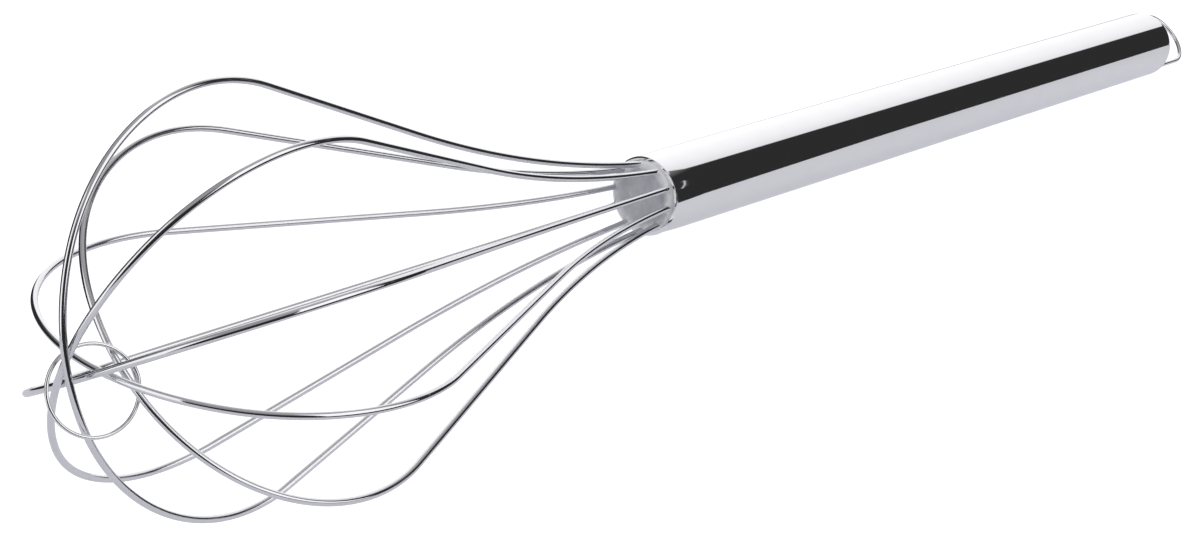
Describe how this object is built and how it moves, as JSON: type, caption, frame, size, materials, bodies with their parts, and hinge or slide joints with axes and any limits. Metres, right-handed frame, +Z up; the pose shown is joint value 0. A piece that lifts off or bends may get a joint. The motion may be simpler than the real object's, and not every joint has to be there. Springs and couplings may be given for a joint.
{
  "type": "balloon whisk",
  "caption": "Long-handled balloon whisk: nested steel wire loops potted in a tubular steel handle, with a loose ring at the tip and a wire hanging eye.",
  "frame": {"origin": "on the table under the middle of the whisk's bounding box, the whisk lying on two wires and the rim of its end cap", "axes": "+X along the whisk from the wires' tip towards the hanging eye, +Z up from the table"},
  "size_m": [0.5904, 0.1184, 0.1154],
  "materials": {
    "handle_steel": "mirror polished stainless steel",
    "loop_wire_steel": "bright drawn stainless wire",
    "ring_wire_steel": "bright drawn stainless wire",
    "eye_wire_steel": "bright drawn stainless wire",
    "potting_resin": "cast grey resin, smooth",
    "dam_board": "matt board"
  },
  "bodies": {
    "whisk": {"handle_tube": "handle_steel", "end_cap": "handle_steel", "hanging_eye": "eye_wire_steel", "resin_plug": "potting_resin", "resin_dam": "dam_board", "wire_loop_1": "loop_wire_steel", "wire_loop_2": "loop_wire_steel", "wire_loop_3": "loop_wire_steel", "wire_loop_4": "loop_wire_steel", "wire_loop_5": "loop_wire_steel"},
    "ring": {"tip_ring": "ring_wire_steel"}
  },
  "joints": [
    {"name": "tip_ring_rock", "type": "hinge", "parent": "whisk", "child": "ring", "pos_m": [-0.27563, 0.00014, 0.05018], "axis": [0.0154, 0.9796, 0.2004], "range_deg": [0, 28]}
  ]
}
